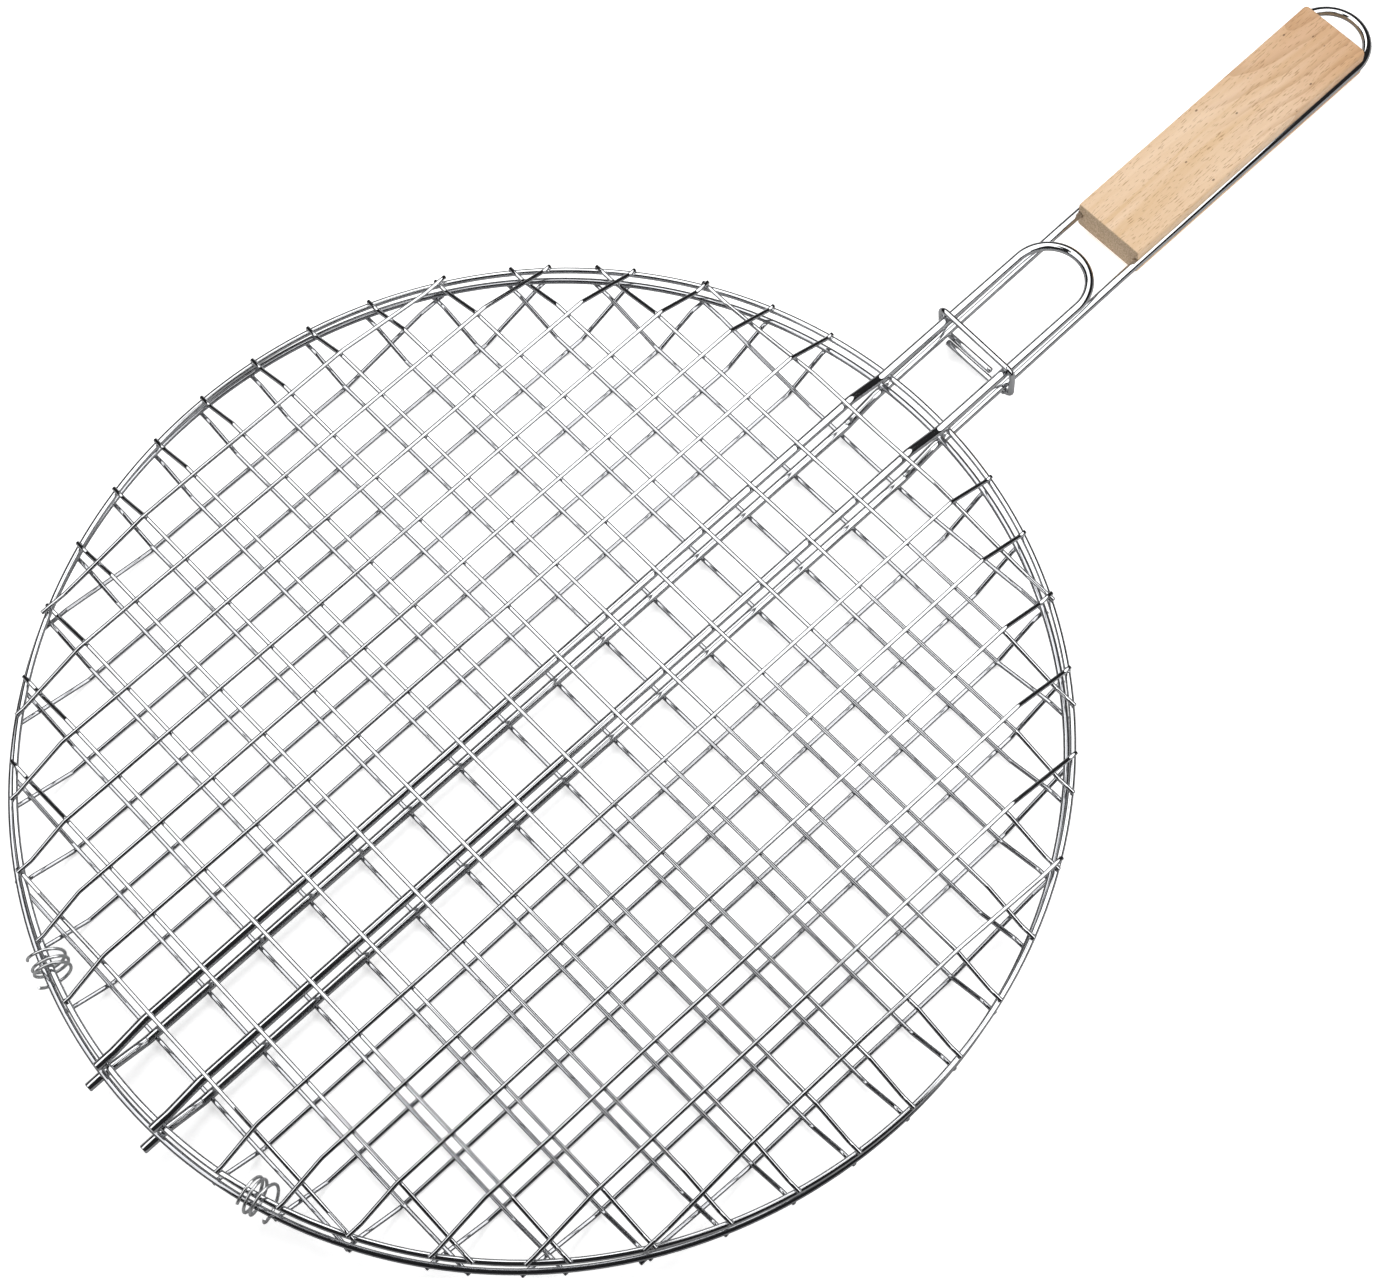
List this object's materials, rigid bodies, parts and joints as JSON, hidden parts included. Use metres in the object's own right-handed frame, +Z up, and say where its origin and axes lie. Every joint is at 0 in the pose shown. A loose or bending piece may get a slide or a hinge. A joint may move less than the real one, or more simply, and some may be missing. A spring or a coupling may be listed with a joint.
{
  "type": "round hinged grill basket",
  "caption": "Round wire grill basket: two dished grids hinged at the back clamp food, locked by a sliding ring on the rods, with a flat wooden handle and hanging loop.",
  "frame": {"origin": "bottom centre of the bounding box, on the surface that the lower grid lies on", "axes": "+X along the handle towards its hanging loop, +Y across it, +Z up through the lid grid"},
  "size_m": [0.526, 0.32, 0.0224],
  "materials": {
    "chromed_grid_wire": "bright chrome plate on drawn steel wire, spot-welded",
    "chromed_rod": "bright chrome plate on heavier drawn rod",
    "spring_wire": "thin bright-drawn steel wire",
    "pale_beech": "sanded, unvarnished, open-pored"
  },
  "bodies": {
    "base": {"lower_rim": "chromed_grid_wire", "lower_frame_rod": "chromed_rod", "lower_cross_wire_01": "chromed_grid_wire", "lower_cross_wire_02": "chromed_grid_wire", "lower_cross_wire_03": "chromed_grid_wire", "lower_cross_wire_04": "chromed_grid_wire", "lower_cross_wire_05": "chromed_grid_wire", "lower_cross_wire_06": "chromed_grid_wire", "lower_cross_wire_07": "chromed_grid_wire", "lower_cross_wire_08": "chromed_grid_wire", "lower_cross_wire_09": "chromed_grid_wire", "lower_cross_wire_10": "chromed_grid_wire", "lower_cross_wire_11": "chromed_grid_wire", "lower_cross_wire_12": "chromed_grid_wire", "lower_cross_wire_13": "chromed_grid_wire", "lower_long_wire_01": "chromed_grid_wire", "lower_long_wire_02": "chromed_grid_wire", "lower_long_wire_03": "chromed_grid_wire", "lower_long_wire_04": "chromed_grid_wire", "lower_long_wire_05": "chromed_grid_wire", "lower_long_wire_06": "chromed_grid_wire", "lower_long_wire_07": "chromed_grid_wire", "lower_long_wire_08": "chromed_grid_wire", "lower_long_wire_09": "chromed_grid_wire", "lower_long_wire_10": "chromed_grid_wire", "lower_long_wire_11": "chromed_grid_wire", "lower_long_wire_12": "chromed_grid_wire", "wooden_handle": "pale_beech", "hinge_coil_left": "spring_wire", "hinge_coil_right": "spring_wire"},
    "lid": {"upper_rim": "chromed_grid_wire", "upper_frame_rod": "chromed_rod", "upper_cross_wire_01": "chromed_grid_wire", "upper_cross_wire_02": "chromed_grid_wire", "upper_cross_wire_03": "chromed_grid_wire", "upper_cross_wire_04": "chromed_grid_wire", "upper_cross_wire_05": "chromed_grid_wire", "upper_cross_wire_06": "chromed_grid_wire", "upper_cross_wire_07": "chromed_grid_wire", "upper_cross_wire_08": "chromed_grid_wire", "upper_cross_wire_09": "chromed_grid_wire", "upper_cross_wire_10": "chromed_grid_wire", "upper_cross_wire_11": "chromed_grid_wire", "upper_cross_wire_12": "chromed_grid_wire", "upper_cross_wire_13": "chromed_grid_wire", "upper_long_wire_01": "chromed_grid_wire", "upper_long_wire_02": "chromed_grid_wire", "upper_long_wire_03": "chromed_grid_wire", "upper_long_wire_04": "chromed_grid_wire", "upper_long_wire_05": "chromed_grid_wire", "upper_long_wire_06": "chromed_grid_wire", "upper_long_wire_07": "chromed_grid_wire", "upper_long_wire_08": "chromed_grid_wire", "upper_long_wire_09": "chromed_grid_wire", "upper_long_wire_10": "chromed_grid_wire", "upper_long_wire_11": "chromed_grid_wire", "upper_long_wire_12": "chromed_grid_wire"},
    "ring": {"locking_ring": "chromed_rod"}
  },
  "joints": [
    {"name": "lid_hinge", "type": "hinge", "parent": "base", "child": "lid", "pos_m": [-0.25625, 0, 0.0112], "axis": [0, -1, 0], "range_deg": [0, 100], "deforming": ["hinge_coil_left", "hinge_coil_right"]},
    {"name": "ring_slide", "type": "slide", "parent": "base", "child": "ring", "axis": [1, 0, 0], "range_m": [-0.02, 0.056]}
  ]
}
